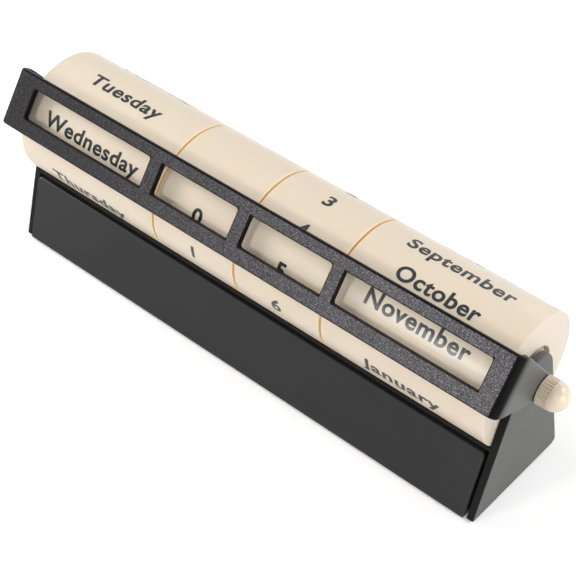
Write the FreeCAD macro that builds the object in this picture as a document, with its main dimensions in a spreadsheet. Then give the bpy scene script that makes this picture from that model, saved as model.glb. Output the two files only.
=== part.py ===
"""Perpetual desk calendar with a drawer, as a FreeCAD macro (millimetres).

Four printed drums turn on one axle between two end plates.  A bent window frame pivots on the same
axle outside the plates and is clamped by two domed knobs.  The stand below is a bent shell with a
trough for the drums and a drawer that slides out of its leaning front.

X runs along the axle, -Y is the front and +Z is up.  The origin is the centre of the stand's
footprint on the table.
"""
import FreeCAD
import Part
import Sketcher

import math
import os

# name: (value in millimetres or degrees, what it is)
SIZES = {
    # stand
    "axle_height": (43.45, "axle centre above the table"),
    "axle_from_front": (18.4, "axle centre behind the stand's front bottom corner"),
    "base_depth": (45.8, "front bottom corner to rear bottom corner"),
    "front_tilt": (10.3, "lean of the front, from upright"),
    "rear_reach": (8.9, "axle to the leaning rear edges of the end plates, squarely"),
    "end_plate_span": (185.6, "outer face to outer face of the end plates"),
    "end_plate_thickness": (2.2, "end plate"),
    "end_plate_top_round": (9.5, "round head of the end plate"),
    "end_plate_toe_round": (0.9, "front bottom corner of the end plate"),
    "end_plate_heel_round": (2.0, "rear bottom corner of the end plate"),
    "end_plate_chamfer": (0.35, "bevelled rim of the end plate's outer face"),
    "shell_wall": (1.0, "sheet of the bent shell"),
    "shell_rear_inset": (0.6, "shell's rear wall inside the end plates' rear edges"),
    "trough_clearance": (0.6, "drum surface to the trough below it"),
    "trough_shoulder": (12.0, "flat top of the raw shell below the axle, before the trough is cut"),
    "pad_thickness": (0.5, "non-slip pad under the floor"),
    "pad_inset": (1.5, "pad inside the stand's edges"),
    # drawer
    "seam_top": (0.95, "gap above the drawer front, along its slope"),
    "seam_side": (0.6, "gap beside the drawer front when the drawer is in the middle"),
    "seam_bottom": (0.1, "drawer front above the underside of the end plates"),
    "drawer_shift": (0.3, "drawer left of the middle, within its play between the runners"),
    "drawer_proud": (0.7, "drawer front before the front edges of the end plates"),
    "drawer_front_thickness": (2.0, "drawer front"),
    "drawer_front_corner": (1.6, "upper corners of the drawer front"),
    "drawer_toe_round": (0.8, "rounded lower edge of the drawer front"),
    "drawer_front_chamfer": (0.3, "bevelled rim of the drawer front"),
    "drawer_lip_depth": (7.0, "lower return of the drawer front, from the front corner"),
    "drawer_stop_gap": (0.3, "drawer lip to the floor's front edge"),
    "tray_rear_gap": (11.0, "rear of the tray before the stand's rear corner"),
    "tray_headroom": (1.75, "tray below the lowest line of the trough's sheet"),
    "tray_wall": (1.2, "walls and floor of the tray"),
    "tray_corner": (1.5, "inner corners of the tray"),
    "slide_clearance": (0.1, "tray above the runners' ledges"),
    "tray_side_clearance": (0.5, "tray beside the runners"),
    "runner_ledge": (5.0, "width of a runner's ledge under the tray"),
    "runner_sheet": (1.4, "upright of a runner"),
    "runner_height": (5.0, "upright of a runner above the floor"),
    "runner_length": (26.0, "runner"),
    # axle
    "axle_radius": (2.0, "axle rod"),
    "running_clearance": (0.05, "radial clearance of what turns on the rod"),
    "thread_engagement": (5.5, "rod inside each knob"),
    "washer_radius": (4.2, "washer between arm and knob"),
    "washer_clearance": (0.05, "washer to each face beside it"),
    # drums
    "drum_radius": (21.15, "drum"),
    "number_pitch": (32.8, "length taken by each number drum"),
    "month_pitch": (57.0, "length taken by the month drum"),
    "drum_gap": (0.8, "open groove between the rims of neighbouring drums"),
    "hub_play": (0.1, "gap between neighbouring hubs, which keep the rims apart"),
    "drum_wall": (1.6, "wall of drums and caps"),
    "drum_rim_chamfer": (0.15, "bevelled rims of the drums"),
    "recess_radius": (10.8, "recess in each end face"),
    "recess_depth": (1.8, "recess in each end face"),
    "hub_radius": (4.4, "hub of drums and caps"),
    "hub_length": (12.0, "hub of drums and caps"),
    "cap_rim_length": (4.0, "rim of the cap inside the drum"),
    "cap_fit": (0.05, "radial gap between cap and drum"),
    # window frame
    "frame_tilt": (30.0, "window frame leaning back from upright"),
    "frame_clearance": (2.55, "drums to the inside of the frame"),
    "frame_rise": (11.0, "upper edge of the frame above the line through the axle"),
    "frame_drop": (7.7, "lower edge of the frame below the line through the axle"),
    "frame_sheet": (1.9, "thickness of the frame"),
    "frame_bend_round": (2.7, "outside of the bend between face and arm"),
    "frame_chamfer": (0.45, "bevelled outer edges of the frame"),
    "arm_gap": (0.25, "end plate to frame arm"),
    "arm_shoulder": (2.0, "full-width stretch of the arm before its taper"),
    "arm_shoulder_round": (4.5, "softened corner where the taper starts"),
    "arm_end_radius": (4.5, "arm's round end about the axle"),
    "window_rise": (7.1, "upper edge of the windows above the line through the axle"),
    "window_drop": (2.9, "lower edge of the windows below the line through the axle"),
    "window_start": (85.9, "left edge of the first window, left of the middle"),
    "weekday_window": (50.3, "width of the weekday window"),
    "tens_window": (30.2, "width of the tens window"),
    "units_window": (30.3, "width of the units window"),
    "month_window": (49.4, "width of the month window"),
    "weekday_bar": (4.6, "bar right of the weekday window"),
    "tens_bar": (4.45, "bar right of the tens window"),
    "units_bar": (4.15, "bar right of the units window"),
    "window_corner": (0.9, "corners of the windows"),
    # knobs
    "knob_gap": (0.35, "frame arm to knob"),
    "knob_radius": (4.6, "knob"),
    "knob_grip_length": (3.6, "straight part of the knob, below its dome"),
    "flute_count": (30, "flutes round the knob"),
    "flute_depth": (0.28, "flute, a vee cut into the grip"),
    "flute_width": (0.6, "half width of the vee as far above the grip as it is deep"),
    "flute_length": (3.4, "flutes from the knob's flat end"),
}


class Term:
    """A size known as a number and as the sheet expression that gives it."""

    def __init__(self, number, text):
        self.number = number
        self.text = text

    def __add__(self, other):
        return Term(self.number + term(other).number, f"({self.text} + {term(other).text})")

    def __radd__(self, other):
        return term(other) + self

    def __sub__(self, other):
        return Term(self.number - term(other).number, f"({self.text} - {term(other).text})")

    def __rsub__(self, other):
        return term(other) - self

    def __mul__(self, other):
        return Term(self.number * term(other).number, f"({self.text} * {term(other).text})")

    def __rmul__(self, other):
        return term(other) * self

    def __truediv__(self, other):
        return Term(self.number / term(other).number, f"({self.text} / {term(other).text})")

    def __rtruediv__(self, other):
        return term(other) / self

    def __neg__(self):
        return Term(-self.number, f"(0 - {self.text})")


def term(value):
    """Gives a plain number the form of a Term."""
    return value if isinstance(value, Term) else Term(float(value), f"{float(value):g}")


def sine(angle):
    return Term(math.sin(math.radians(angle.number)), f"sin({angle.text})")


def cosine(angle):
    return Term(math.cos(math.radians(angle.number)), f"cos({angle.text})")


def tangent(angle):
    return sine(angle) / cosine(angle)


def arccosine(ratio):
    return Term(math.degrees(math.acos(ratio.number)), f"acos({ratio.text})")


def arctangent(ratio):
    return Term(math.degrees(math.atan(ratio.number)), f"atan({ratio.text})")


def hypotenuse(side, other):
    """The longest side of a right triangle."""
    square = side * side + other * other
    return Term(math.sqrt(square.number), f"sqrt({square.text})")


def leg(longest, side):
    """The other leg of a right triangle."""
    square = longest * longest - side * side
    return Term(math.sqrt(square.number), f"sqrt({square.text})")


class Sheet:
    """The spreadsheet of driving sizes; each size is read as an attribute."""

    def __init__(self, document):
        self.sheet = document.addObject("Spreadsheet::Sheet", "Sizes")
        for row, (name, (value, note)) in enumerate(SIZES.items(), start=1):
            self.sheet.set(f"A{row}", name)
            self.sheet.set(f"B{row}", f"{value:g}")
            self.sheet.setAlias(f"B{row}", name)
            self.sheet.set(f"C{row}", note)

    def __getattr__(self, name):
        return Term(float(SIZES[name][0]), f"Sizes.{name}")


doc = FreeCAD.newDocument("desk_calendar")
size = Sheet(doc)
doc.recompute()


# ---- places that several pieces share -------------------------------------------------------------

front_corner = -size.base_depth / 2
rear_corner = size.base_depth / 2
axle_y = front_corner + size.axle_from_front
underside = size.pad_thickness
floor_top = underside + size.shell_wall
end_plate_inner = size.end_plate_span / 2 - size.end_plate_thickness
axle_rise = size.axle_height - underside
front_reach = (size.axle_from_front - axle_rise * tangent(size.front_tilt)) * cosine(size.front_tilt)
axle_to_rear = size.base_depth - size.axle_from_front
rear_tilt = (arccosine(size.rear_reach / hypotenuse(axle_to_rear, axle_rise))
             - arctangent(axle_rise / axle_to_rear))
trough_radius = size.drum_radius + size.trough_clearance
ceiling_radius = trough_radius + size.shell_wall
floor_front = front_corner + size.drawer_lip_depth + size.drawer_stop_gap
bore_radius = size.axle_radius + size.running_clearance
drum_row = 2 * end_plate_inner
weekday_pitch = drum_row - 2 * size.number_pitch - size.month_pitch
arm_outer = size.end_plate_span / 2 + size.arm_gap + size.frame_sheet
knob_base = arm_outer + size.knob_gap
tray_bottom = floor_top + size.runner_sheet / 2 + size.slide_clearance
tray_half_width = end_plate_inner - size.runner_sheet - size.tray_side_clearance
drawer_back = size.drawer_front_thickness - size.drawer_proud
frame_face_distance = size.drum_radius + size.frame_clearance + size.frame_sheet


def on_front(height, inwards=0):
    """Y of the stand's leaning front at a height, moved squarely inwards."""
    return front_corner + (height - underside) * tangent(size.front_tilt) + inwards / cosine(size.front_tilt)


def front_height(radius):
    """Height at which a circle about the axle crosses the leaning front below the axle."""
    return (size.axle_height + front_reach * sine(size.front_tilt)
            - leg(radius, front_reach) * cosine(size.front_tilt))


# ---- tools for bodies and sketches ------------------------------------------------------------------

def new_body(label):
    body = doc.addObject("PartDesign::Body", label)
    body.Label = label
    return body


def place(item, x=0, y=0, z=0, axis=None, angle=None):
    """Binds an object's place, and its turn about an axis, to the sheet."""
    turn = FreeCAD.Rotation(axis or FreeCAD.Vector(0, 0, 1), term(angle or 0).number)
    item.Placement = FreeCAD.Placement(FreeCAD.Vector(0, 0, 0), turn)
    for letter, value in (("x", x), ("y", y), ("z", z)):
        item.setExpression(f"Placement.Base.{letter}", term(value).text)
    if isinstance(angle, Term):
        item.setExpression("Placement.Rotation.Angle", angle.text)


def new_sketch(body, plane):
    """A sketch on one of the body's own origin planes, such as YZ_Plane."""
    sketch = body.newObject("Sketcher::SketchObject", f"{body.Name}_sketch")
    planes = [item for item in body.Origin.OriginFeatures if item.Role == plane]
    sketch.AttachmentSupport = [(planes[0], "")]
    sketch.MapMode = "FlatFace"
    return sketch


def fix(sketch, edge, end, x=None, y=None):
    """Holds one point of an edge at sheet-driven coordinates."""
    for kind, value in (("DistanceX", x), ("DistanceY", y)):
        if value is not None:
            value = term(value)
            index = sketch.addConstraint(Sketcher.Constraint(kind, -1, 1, edge, end, value.number))
            sketch.setExpression(f"Constraints[{index}]", value.text)


def outline(sketch, corners, arcs=None):
    """Closes the corners with straight edges.

    arcs maps the number of a corner to (centre, coordinate): the edge after that corner turns about
    the centre, and only that coordinate, x or y, of the edge's far corner is held.
    """
    arcs = arcs or {}
    points = [FreeCAD.Vector(term(x).number, term(y).number, 0) for x, y in corners]
    ends = []
    for number, start in enumerate(points):
        finish = points[(number + 1) % len(points)]
        if number in arcs:
            centre = FreeCAD.Vector(*(term(value).number for value in arcs[number][0]), 0)
            forward = (start - centre).cross(finish - centre).z > 0
            first, last = (start, finish) if forward else (finish, start)
            angles = [math.atan2(p.y - centre.y, p.x - centre.x) for p in (first, last)]
            circle = Part.Circle(centre, FreeCAD.Vector(0, 0, 1), (start - centre).Length)
            edge = sketch.addGeometry(Part.ArcOfCircle(circle, *angles))
            ends.append((edge, 1, 2) if forward else (edge, 2, 1))
        else:
            edge = sketch.addGeometry(Part.LineSegment(start, finish))
            ends.append((edge, 1, 2))
    for number, (edge, start_end, _) in enumerate(ends):
        before = ends[number - 1]
        sketch.addConstraint(Sketcher.Constraint("Coincident", before[0], before[2], edge, start_end))
    for number, (edge, start_end, _) in enumerate(ends):
        previous_arc = arcs.get((number - 1) % len(corners))
        held = previous_arc[1] if previous_arc else "xy"
        x, y = corners[number]
        fix(sketch, edge, start_end, x if "x" in held else None, y if "y" in held else None)
        if number in arcs:
            fix(sketch, edge, 3, *arcs[number][0])


def circle(sketch, x, y, radius):
    centre = FreeCAD.Vector(term(x).number, term(y).number, 0)
    edge = sketch.addGeometry(Part.Circle(centre, FreeCAD.Vector(0, 0, 1), radius.number))
    fix(sketch, edge, 3, x, y)
    index = sketch.addConstraint(Sketcher.Constraint("Radius", edge, radius.number))
    sketch.setExpression(f"Constraints[{index}]", radius.text)


def pad(body, sketch, length, back=None, middle=False):
    """Pads a sketch along its normal, to both sides alike, or by back to the other side."""
    feature = body.newObject("PartDesign::Pad", f"{body.Name}_pad")
    feature.Profile = sketch
    feature.setExpression("Length", term(length).text)
    if middle:
        feature.SideType = "Symmetric"
    if back is not None:
        feature.SideType = "Two sides"
        feature.setExpression("Length2", back.text)
    doc.recompute()
    return feature


def cut_through(body, sketch):
    """Cuts a sketch right through the body, both ways from its plane."""
    return cut(body, sketch, None, "through")


def cut(body, sketch, length, way="forward"):
    """Cuts a sketch along its normal (forward), to both sides alike (middle) or right through."""
    before = body.Shape.Volume
    feature = body.newObject("PartDesign::Pocket", f"{body.Name}_cut")
    feature.Profile = sketch
    feature.SideType = "One side" if way == "forward" else "Symmetric"
    feature.Reversed = way == "forward"
    if way == "through":
        feature.Type = "ThroughAll"
    else:
        feature.setExpression("Length", term(length).text)
    doc.recompute()
    if not body.Shape.Volume < before:
        raise RuntimeError(f"{body.Label}: a cut removed nothing")
    return feature


def revolve(body, sketch):
    """Turns a sketch a full turn about its horizontal axis."""
    feature = body.newObject("PartDesign::Revolution", f"{body.Name}_turned")
    feature.Profile = sketch
    feature.ReferenceAxis = (sketch, ["H_Axis"])
    feature.Angle = 360
    doc.recompute()
    return feature


def dress(body, kind, property_name, amount, chosen):
    """Adds a fillet or chamfer to each edge for which chosen(edge) is true."""
    base = body.Tip
    names = [f"Edge{n}" for n, edge in enumerate(base.Shape.Edges, start=1) if chosen(edge)]
    if not names:
        raise RuntimeError(f"{body.Label}: no edge to dress")
    feature = body.newObject(f"PartDesign::{kind}", f"{body.Name}_{kind.lower()}")
    feature.Base = (base, names)
    feature.setExpression(property_name, amount.text)
    doc.recompute()


def fillet(body, radius, chosen):
    dress(body, "Fillet", "Radius", radius, chosen)


def chamfer(body, width, chosen):
    dress(body, "Chamfer", "Size", width, chosen)


def near(value, target):
    return abs(value - term(target).number) < 0.01


def along(edge, letter):
    """True for a straight edge that runs along X, Y or Z."""
    if not isinstance(edge.Curve, (Part.Line, Part.LineSegment)):
        return False
    way = edge.Vertexes[1].Point - edge.Vertexes[0].Point
    return near(abs(getattr(way, letter)), way.Length)


# ---- stand ----------------------------------------------------------------------------------------

def make_end_plate(label, left_face):
    """A plate whose two leaning edges meet in a round head over the axle."""
    body = new_body(label)
    peak_rise = size.base_depth / (tangent(size.front_tilt) + tangent(rear_tilt))
    peak = (front_corner + peak_rise * tangent(size.front_tilt), underside + peak_rise)
    profile = new_sketch(body, "YZ_Plane")
    outline(profile, [(front_corner, underside), (rear_corner, underside), peak])
    pad(body, profile, size.end_plate_thickness)
    corners = (
        (size.end_plate_top_round, peak[0]),
        (size.end_plate_toe_round, front_corner),
        (size.end_plate_heel_round, rear_corner),
    )
    for radius, y in corners:
        fillet(body, radius, lambda edge: along(edge, "x") and near(edge.Vertexes[0].Y, y))
    outer = size.end_plate_thickness if left_face.number > 0 else term(0)
    chamfer(body, size.end_plate_chamfer,
            lambda edge: all(near(vertex.X, outer) for vertex in edge.Vertexes))
    bore = new_sketch(body, "YZ_Plane")
    circle(bore, axle_y, size.axle_height, bore_radius)
    cut_through(body, bore)
    place(body, x=left_face)


def make_base_shell():
    """One bent sheet: floor, rear wall, and a trough under the drums that ends in the front rail."""
    body = new_body("base_shell")
    rear_bottom = rear_corner - size.shell_rear_inset / cosine(rear_tilt)
    shoulder = size.axle_height - size.trough_shoulder
    rear_shoulder = rear_bottom - (shoulder - underside) * tangent(rear_tilt)
    block = new_sketch(body, "YZ_Plane")
    outline(block, [
        (front_corner, underside),
        (rear_bottom, underside),
        (rear_shoulder, shoulder),
        (on_front(shoulder), shoulder),
    ])
    pad(body, block, 2 * end_plate_inner, middle=True)

    trough = new_sketch(body, "YZ_Plane")
    circle(trough, axle_y, size.axle_height, trough_radius)
    cut_through(body, trough)

    wall_reach = size.rear_reach - size.shell_rear_inset - size.shell_wall
    wall_drop = leg(ceiling_radius, wall_reach)
    wall_top = (
        axle_y + wall_reach * cosine(rear_tilt) + wall_drop * sine(rear_tilt),
        size.axle_height + wall_reach * sine(rear_tilt) - wall_drop * cosine(rear_tilt),
    )
    wall_foot = wall_top[0] + (wall_top[1] - floor_top) * tangent(rear_tilt)
    rail_bottom = front_height(ceiling_radius)
    open_air = front_corner - size.drawer_lip_depth
    cavity = new_sketch(body, "YZ_Plane")
    outline(
        cavity,
        [
            (open_air, underside - size.shell_wall),
            (floor_front, underside - size.shell_wall),
            (floor_front, floor_top),
            (wall_foot, floor_top),
            wall_top,
            (on_front(rail_bottom), rail_bottom),
            (open_air, rail_bottom),
        ],
        arcs={4: ((axle_y, size.axle_height), "y")},
    )
    cut_through(body, cavity)
    place(body)


def make_base_pad():
    """A thin non-slip sheet under the floor; its underside is what stands on the table."""
    pad_sheet = doc.addObject("Part::Box", "base_pad")
    pad_sheet.Label = "base_pad"
    pad_front = floor_front + size.pad_inset / 2
    pad_sheet.setExpression("Length", (size.end_plate_span - 2 * size.pad_inset).text)
    pad_sheet.setExpression("Width", (rear_corner - size.pad_inset - pad_front).text)
    pad_sheet.setExpression("Height", size.pad_thickness.text)
    place(pad_sheet, x=size.pad_inset - size.end_plate_span / 2, y=pad_front)


def make_runner(label, side):
    """An L-shaped strip in the corner of floor and end plate; the tray rides on its ledge."""
    body = new_body(label)
    profile = new_sketch(body, "XZ_Plane")
    wall = side * end_plate_inner
    ledge_top = floor_top + size.runner_sheet / 2
    outline(profile, [
        (wall, floor_top),
        (wall, floor_top + size.runner_height),
        (wall - side * size.runner_sheet, floor_top + size.runner_height),
        (wall - side * size.runner_sheet, ledge_top),
        (wall - side * (size.runner_sheet + size.runner_ledge), ledge_top),
        (wall - side * (size.runner_sheet + size.runner_ledge), floor_top),
    ])
    pad(body, profile, size.runner_length)
    place(body, y=floor_front + size.runner_length)


# ---- drawer ---------------------------------------------------------------------------------------

def make_drawer_front():
    """The leaning front with a rounded lower edge and a return that meets the floor."""
    body = new_body("drawer_front")
    bottom = underside + size.seam_bottom
    top = front_height(ceiling_radius) - size.seam_top * cosine(size.front_tilt)
    back_top = top - size.drawer_front_thickness * sine(size.front_tilt)
    lip_top = tray_bottom
    half_width = end_plate_inner - size.seam_side
    profile = new_sketch(body, "YZ_Plane")
    outline(profile, [
        (on_front(bottom, -size.drawer_proud), bottom),
        (front_corner + size.drawer_lip_depth, bottom),
        (front_corner + size.drawer_lip_depth, lip_top),
        (on_front(lip_top, drawer_back), lip_top),
        (on_front(back_top, drawer_back), back_top),
        (on_front(top, -size.drawer_proud), top),
    ])
    pad(body, profile, 2 * half_width, middle=True)
    fillet(body, size.drawer_toe_round,
           lambda edge: along(edge, "x") and near(edge.Vertexes[0].Z, bottom)
           and on_drawer_face(edge.Vertexes[0]))
    fillet(body, size.drawer_front_corner,
           lambda edge: not along(edge, "x")
           and all(near(vertex.Z, top) or near(vertex.Z, back_top) for vertex in edge.Vertexes))
    chamfer(body, size.drawer_front_chamfer,
            lambda edge: all(on_drawer_face(vertex) for vertex in edge.Vertexes)
            and (not along(edge, "x") or near(edge.Vertexes[0].Z, top)))
    place(body, x=-size.drawer_shift)


def on_drawer_face(vertex):
    """True for a vertex on the leaning face of the drawer front."""
    return near(vertex.Y, on_front(term(vertex.Z), -size.drawer_proud))


def make_drawer_tray():
    """An open tray whose leaning front wall seats against the drawer front."""
    body = new_body("drawer_tray")
    tray_top = size.axle_height - ceiling_radius - size.tray_headroom
    tray_rear = rear_corner - size.tray_rear_gap
    inner_floor = tray_bottom + size.tray_wall
    block = new_sketch(body, "YZ_Plane")
    outline(block, [
        (on_front(tray_bottom, drawer_back), tray_bottom),
        (tray_rear, tray_bottom),
        (tray_rear, tray_top),
        (on_front(tray_top, drawer_back), tray_top),
    ])
    pad(body, block, 2 * tray_half_width, middle=True)
    inner_front = drawer_back + size.tray_wall
    hollow = new_sketch(body, "YZ_Plane")
    above = tray_top + size.tray_wall
    outline(hollow, [
        (on_front(inner_floor, inner_front), inner_floor),
        (tray_rear - size.tray_wall, inner_floor),
        (tray_rear - size.tray_wall, above),
        (on_front(above, inner_front), above),
    ])
    cut(body, hollow, 2 * (tray_half_width - size.tray_wall), way="middle")
    fillet(body, size.tray_corner,
           lambda edge: not along(edge, "x") and abs(edge.Vertexes[0].Z - edge.Vertexes[1].Z) > 1
           and all(near(abs(vertex.X), tray_half_width - size.tray_wall) for vertex in edge.Vertexes))
    place(body, x=-size.drawer_shift)


# ---- axle, knobs and washers ------------------------------------------------------------------------

def make_axle_rod():
    rod = doc.addObject("Part::Cylinder", "axle_rod")
    rod.Label = "axle_rod"
    half_length = knob_base + size.thread_engagement
    rod.setExpression("Radius", size.axle_radius.text)
    rod.setExpression("Height", (2 * half_length).text)
    place(rod, x=-half_length, y=axle_y, z=size.axle_height, axis=FreeCAD.Vector(0, 1, 0), angle=90)


def make_knob_washers():
    """Two equal washers, one between each arm and its knob, in one node."""
    thickness = size.knob_gap - 2 * size.washer_clearance
    pair = []
    for side in (-1, 1):
        disc = doc.addObject("Part::Cylinder", "washer_disc")
        bore = doc.addObject("Part::Cylinder", "washer_bore")
        disc.setExpression("Radius", size.washer_radius.text)
        bore.setExpression("Radius", bore_radius.text)
        start = side * (arm_outer + size.knob_gap / 2) - thickness / 2
        for cylinder in (disc, bore):
            cylinder.setExpression("Height", thickness.text)
            place(cylinder, x=start, y=axle_y, z=size.axle_height, axis=FreeCAD.Vector(0, 1, 0), angle=90)
        washer = doc.addObject("Part::Cut", "washer")
        washer.Base = disc
        washer.Tool = bore
        pair.append(washer)
    group = doc.addObject("Part::Compound", "knob_washers")
    group.Links = pair
    group.Label = "knob_washers"


def make_knob(label, side):
    """A fluted grip with a domed end, bored for the rod from its flat end."""
    body = new_body(label)
    profile = new_sketch(body, "XY_Plane")
    dome_centre = (size.knob_grip_length, term(0))
    outline(
        profile,
        [
            (term(0), term(0)),
            (term(0), size.knob_radius),
            (size.knob_grip_length, size.knob_radius),
            (size.knob_grip_length + size.knob_radius, term(0)),
        ],
        arcs={2: (dome_centre, "y")},
    )
    revolve(body, profile)
    bore = new_sketch(body, "YZ_Plane")
    circle(bore, 0, 0, bore_radius)
    cut(body, bore, size.thread_engagement + size.axle_radius / 2)
    flute = new_sketch(body, "YZ_Plane")
    outline(flute, [
        (0, size.knob_radius - size.flute_depth),
        (size.flute_width, size.knob_radius + size.flute_depth),
        (-size.flute_width, size.knob_radius + size.flute_depth),
    ])
    first = cut(body, flute, size.flute_length)
    flutes = body.newObject("PartDesign::PolarPattern", f"{label}_flutes")
    flutes.Originals = [first]
    flutes.Axis = (flute, ["N_Axis"])
    flutes.Angle = 360
    flutes.setExpression("Occurrences", size.flute_count.text)
    body.Tip = flutes
    doc.recompute()
    turn = 0 if side > 0 else 180
    place(body, x=side * knob_base, y=axle_y, z=size.axle_height, angle=turn)


# ---- drums ----------------------------------------------------------------------------------------

def make_drum(label, start, pitch):
    """A hollow drum, open at its left end, whose right end carries a recess and a hub."""
    length = pitch - size.drum_gap
    radius = size.drum_radius
    wall = size.drum_wall
    recess_floor = length - size.recess_depth
    hub_end = length + (size.drum_gap - size.hub_play) / 2
    body = new_body(label)
    profile = new_sketch(body, "XY_Plane")
    outline(profile, [
        (0, radius - wall),
        (0, radius),
        (length, radius),
        (length, size.recess_radius),
        (recess_floor, size.recess_radius),
        (recess_floor, size.hub_radius),
        (hub_end, size.hub_radius),
        (hub_end, bore_radius),
        (hub_end - size.hub_length, bore_radius),
        (hub_end - size.hub_length, size.hub_radius),
        (recess_floor - wall, size.hub_radius),
        (recess_floor - wall, size.recess_radius + wall),
        (length - wall, size.recess_radius + wall),
        (length - wall, radius - wall),
    ])
    revolve(body, profile)
    chamfer(body, size.drum_rim_chamfer,
            lambda edge: isinstance(edge.Curve, Part.Circle) and near(edge.Curve.Radius, radius))
    place(body, x=start + size.drum_gap / 2, y=axle_y, z=size.axle_height)


def make_drum_cap(label, start):
    """The cap in a drum's open end, with the same recess and hub as the drum's closed end."""
    rim_radius = size.drum_radius - size.drum_wall - size.cap_fit
    wall = size.drum_wall
    hub_end = -(size.drum_gap - size.hub_play) / 2
    body = new_body(label)
    profile = new_sketch(body, "XY_Plane")
    outline(profile, [
        (hub_end, bore_radius),
        (hub_end, size.hub_radius),
        (size.recess_depth, size.hub_radius),
        (size.recess_depth, size.recess_radius),
        (0, size.recess_radius),
        (0, rim_radius),
        (size.cap_rim_length, rim_radius),
        (size.cap_rim_length, rim_radius - wall),
        (wall, rim_radius - wall),
        (wall, size.recess_radius + wall),
        (size.recess_depth + wall, size.recess_radius + wall),
        (size.recess_depth + wall, size.hub_radius),
        (hub_end + size.hub_length, size.hub_radius),
        (hub_end + size.hub_length, bore_radius),
    ])
    revolve(body, profile)
    place(body, x=start + size.drum_gap / 2, y=axle_y, z=size.axle_height)


# ---- window frame ---------------------------------------------------------------------------------

def window_edges():
    """Left and right edge of each of the four windows."""
    edges = []
    left = -size.window_start
    widths = (size.weekday_window, size.tens_window, size.units_window, size.month_window)
    bars = (size.weekday_bar, size.tens_bar, size.units_bar, term(0))
    for width, bar in zip(widths, bars):
        edges.append((left, left + width))
        left = left + width + bar
    return edges


def make_window_frame():
    """One sheet bent into a face with four windows and two arms that taper to the axle."""
    body = new_body("window_frame")
    face = -frame_face_distance
    back = face + size.frame_sheet
    arm_inner = arm_outer - size.frame_sheet
    raw_end = 2 * size.arm_end_radius
    sheet = new_sketch(body, "XY_Plane")
    outline(sheet, [
        (-arm_outer, raw_end),
        (-arm_outer, face),
        (arm_outer, face),
        (arm_outer, raw_end),
        (arm_inner, raw_end),
        (arm_inner, back),
        (-arm_inner, back),
        (-arm_inner, raw_end),
    ])
    pad(body, sheet, size.frame_rise, back=size.frame_drop)
    bends = (
        (size.frame_bend_round, face, arm_outer),
        (size.frame_bend_round - size.frame_sheet, back, arm_inner),
    )
    for radius, y, x in bends:
        fillet(body, radius,
               lambda edge: along(edge, "z") and near(edge.Vertexes[0].Y, y)
               and near(abs(edge.Vertexes[0].X), x))
    trim_arms(body)
    chamfer(body, size.frame_chamfer,
            lambda edge: not along(edge, "z")
            and all(near(vertex.Y, face) or near(abs(vertex.X), arm_outer) for vertex in edge.Vertexes))
    windows = new_sketch(body, "XZ_Plane")
    for left, right in window_edges():
        outline(windows, [
            (left, -size.window_drop),
            (right, -size.window_drop),
            (right, size.window_rise),
            (left, size.window_rise),
        ])
    cut_through(body, windows)
    fillet(body, size.window_corner,
           lambda edge: along(edge, "y") and near(edge.Length, size.frame_sheet)
           and abs(edge.Vertexes[0].X) < arm_inner.number - 1)
    bore = new_sketch(body, "YZ_Plane")
    circle(bore, 0, 0, bore_radius)
    cut_through(body, bore)
    place(body, y=axle_y, z=size.axle_height, axis=FreeCAD.Vector(-1, 0, 0), angle=size.frame_tilt)


def trim_arms(body):
    """Cuts the arms to a taper that ends round, about the axle."""
    face = -frame_face_distance
    radius = size.arm_end_radius
    root = face + size.frame_bend_round + size.arm_shoulder
    trim = new_sketch(body, "YZ_Plane")
    margin = size.frame_bend_round
    outline(trim, [
        (face - margin, -size.frame_drop - margin),
        (2 * radius + margin, -size.frame_drop - margin),
        (2 * radius + margin, size.frame_rise + margin),
        (face - margin, size.frame_rise + margin),
    ])
    corners = [
        (face - margin / 2, -size.frame_drop),
        (root, -size.frame_drop),
        (root, size.frame_rise),
        (face - margin / 2, size.frame_rise),
    ]
    points = [FreeCAD.Vector(x.number, y.number, 0) for x, y in corners]
    touch = [touch_point(points[1], radius.number, -1), touch_point(points[2], radius.number, 1)]
    runs = [(points[0], points[1]), (points[1], touch[0]), (touch[1], points[2]),
            (points[2], points[3]), (points[3], points[0])]
    lower, lower_taper, upper_taper, upper, front = [
        trim.addGeometry(Part.LineSegment(*run)) for run in runs
    ]
    end = trim.addGeometry(Part.ArcOfCircle(
        Part.Circle(FreeCAD.Vector(0, 0, 0), FreeCAD.Vector(0, 0, 1), radius.number),
        *(math.atan2(point.y, point.x) for point in touch),
    ))
    joints = (
        (lower, 2, lower_taper, 1),
        (upper_taper, 2, upper, 1),
        (upper, 2, front, 1),
        (front, 2, lower, 1),
    )
    for joint in joints:
        trim.addConstraint(Sketcher.Constraint("Coincident", *joint))
    fix(trim, lower, 1, *corners[0])
    fix(trim, lower, 2, *corners[1])
    fix(trim, upper, 1, *corners[2])
    fix(trim, upper, 2, *corners[3])
    trim.addConstraint(Sketcher.Constraint("Coincident", end, 3, -1, 1))
    index = trim.addConstraint(Sketcher.Constraint("Radius", end, radius.number))
    trim.setExpression(f"Constraints[{index}]", radius.text)
    trim.addConstraint(Sketcher.Constraint("Tangent", lower_taper, 2, end, 1))
    trim.addConstraint(Sketcher.Constraint("Tangent", end, 2, upper_taper, 1))
    cut_through(body, trim)
    fillet(body, size.arm_shoulder_round,
           lambda edge: along(edge, "x") and near(edge.Vertexes[0].Y, root))


def touch_point(point, radius, side):
    """Where the tangent from a point touches the circle about the axle, on the lower or upper side."""
    swing = side * math.acos(radius / point.Length)
    bearing = math.atan2(point.y, point.x) - swing
    return FreeCAD.Vector(radius * math.cos(bearing), radius * math.sin(bearing), 0)


# ---- the whole object -----------------------------------------------------------------------------

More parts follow.
